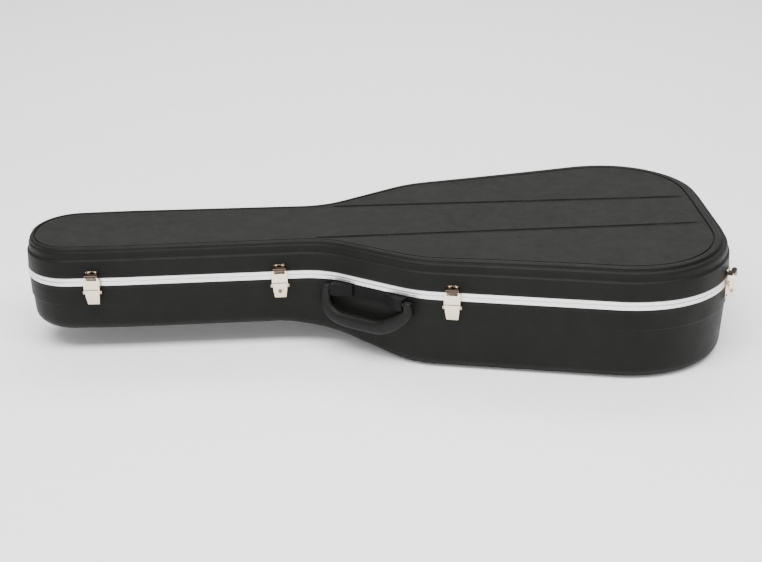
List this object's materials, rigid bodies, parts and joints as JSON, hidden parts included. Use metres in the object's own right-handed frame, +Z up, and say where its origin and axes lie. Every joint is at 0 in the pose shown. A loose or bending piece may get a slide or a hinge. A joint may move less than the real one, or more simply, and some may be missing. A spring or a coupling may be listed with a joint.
{
  "type": "guitar case",
  "caption": "Hard guitar case with domed grained shells, bright metal band, draw latches, hinged lid, folding handle and padded plush interior.",
  "frame": {"origin": "middle of the case's outline on the floor it lies on", "axes": "+X along the case from the head end to the wide body end, -Y towards the handle and latches, +Z up from the floor to the lid"},
  "size_m": [1.1136, 0.4925, 0.1808],
  "materials": {
    "base_shell_abs": "black leather-grain ABS, satin",
    "lid_shell_abs": "black leather-grain ABS, satin",
    "foam": "closed-cell foam, dull",
    "plush": "short black plush",
    "core_board": "bare fibreboard",
    "valance": "bright satin, brushed along its length",
    "splice_steel": "zinc plated",
    "latch_plate": "nickel plated, bright",
    "latch_lever": "nickel plated, bright",
    "latch_claw": "nickel plated, bright",
    "latch_pins": "nickel plated, bright",
    "rivets": "nickel plated",
    "pins": "bright drawn steel",
    "lock_brass": "nickel plated",
    "lock_steel": "zinc plated",
    "hinge_leaf": "nickel plated, bright",
    "handle_plastic": "black moulded plastic, semi-gloss",
    "post_plastic": "black moulded plastic",
    "backplate": "black moulded plastic",
    "core_steel": "plain spring steel",
    "bolt_steel": "zinc plated"
  },
  "bodies": {
    "base": {"base_shell": "base_shell_abs", "base_foam": "foam", "base_lining": "plush", "base_valance": "valance", "base_valance_splice": "splice_steel", "neck_cradle": "core_board", "cradle_cover": "plush", "compartment_wall": "plush", "latch_base_1": "latch_plate", "latch_base_2": "latch_plate", "latch_base_3": "latch_plate", "latch_base_4": "latch_plate", "latch_base_rivets": "rivets", "latch_pivot_pins": "pins", "lock_staple": "lock_steel", "handle_backplate": "backplate", "handle_post_left": "post_plastic", "handle_post_right": "post_plastic", "handle_pins": "pins", "handle_bolts": "bolt_steel", "hinge_lower_1": "hinge_leaf", "hinge_lower_2": "hinge_leaf", "hinge_lower_3": "hinge_leaf", "hinge_pins": "pins", "hinge_rivets_base": "rivets"},
    "lid": {"lid_shell": "lid_shell_abs", "lid_foam": "foam", "lid_lining": "plush", "lid_valance": "valance", "lid_valance_splice": "splice_steel", "keeper_1": "latch_plate", "keeper_2": "latch_plate", "keeper_3": "latch_plate", "keeper_4": "latch_plate", "keeper_rivets": "rivets", "hinge_upper_1": "hinge_leaf", "hinge_upper_2": "hinge_leaf", "hinge_upper_3": "hinge_leaf", "hinge_rivets_lid": "rivets"},
    "lever_1": {"lever_1": "latch_lever", "claw_pins_1": "latch_pins"},
    "claw_1": {"claw_1": "latch_claw"},
    "lever_2": {"lever_2": "latch_lever", "claw_pins_2": "latch_pins"},
    "claw_2": {"claw_2": "latch_claw"},
    "lever_3": {"lever_3": "latch_lever", "claw_pins_3": "latch_pins"},
    "claw_3": {"claw_3": "latch_claw"},
    "lever_4": {"lever_4": "latch_lever", "claw_pins_4": "latch_pins"},
    "claw_4": {"claw_4": "latch_claw"},
    "lock": {"lock_barrel": "lock_brass", "lock_cam": "lock_steel"},
    "handle": {"handle_grip": "handle_plastic", "handle_core": "core_steel"}
  },
  "joints": [
    {"name": "lid_hinge", "type": "hinge", "parent": "base", "child": "lid", "pos_m": [0.24, 0.22471, 0.12615], "axis": [-0.9842, -0.1771, 0], "range_deg": [0, 100]},
    {"name": "latch_1_lever", "type": "hinge", "parent": "base", "child": "lever_1", "pos_m": [-0.44353, -0.0924, 0.114], "axis": [-0.9997, 0.026, 0], "range_deg": [0, 95]},
    {"name": "latch_1_claw", "type": "hinge", "parent": "lever_1", "child": "claw_1", "pos_m": [-0.44362, -0.0959, 0.112], "axis": [0.9997, -0.026, 0], "range_deg": [0, 110.02]},
    {"name": "latch_2_lever", "type": "hinge", "parent": "base", "child": "lever_2", "pos_m": [-0.15093, -0.08997, 0.114], "axis": [-0.9999, -0.0141, 0], "range_deg": [0, 95]},
    {"name": "latch_2_claw", "type": "hinge", "parent": "lever_2", "child": "claw_2", "pos_m": [-0.15088, -0.09347, 0.112], "axis": [0.9999, 0.0141, 0], "range_deg": [0, 110.02]},
    {"name": "latch_3_lever", "type": "hinge", "parent": "base", "child": "lever_3", "pos_m": [0.11194, -0.19265, 0.114], "axis": [-0.9771, 0.2128, 0], "range_deg": [0, 95]},
    {"name": "latch_3_claw", "type": "hinge", "parent": "lever_3", "child": "claw_3", "pos_m": [0.11119, -0.19607, 0.112], "axis": [0.9771, -0.2128, 0], "range_deg": [0, 110.02]},
    {"name": "latch_4_lever", "type": "hinge", "parent": "base", "child": "lever_4", "pos_m": [0.5439, -0.1573, 0.114], "axis": [-0.4226, -0.9063, 0], "range_deg": [0, 95]},
    {"name": "latch_4_claw", "type": "hinge", "parent": "lever_4", "child": "claw_4", "pos_m": [0.54708, -0.15878, 0.112], "axis": [0.4226, 0.9063, 0], "range_deg": [0, 110.02]},
    {"name": "lock_turn", "type": "hinge", "parent": "lever_2", "child": "lock", "pos_m": [-0.15093, -0.08997, 0.1035], "axis": [0.0141, -0.9999, 0], "range_deg": [0, 90]},
    {"name": "handle_fold", "type": "hinge", "parent": "base", "child": "handle", "pos_m": [-0.01706, -0.1407, 0.111], "axis": [-0.8375, 0.5464, 0], "range_deg": [0, 100]}
  ],
  "couplings": [
    {"joint": "latch_1_claw", "follows": "latch_1_lever", "ratio": 1.158},
    {"joint": "latch_2_claw", "follows": "latch_2_lever", "ratio": 1.158},
    {"joint": "latch_3_claw", "follows": "latch_3_lever", "ratio": 1.158},
    {"joint": "latch_4_claw", "follows": "latch_4_lever", "ratio": 1.158}
  ]
}
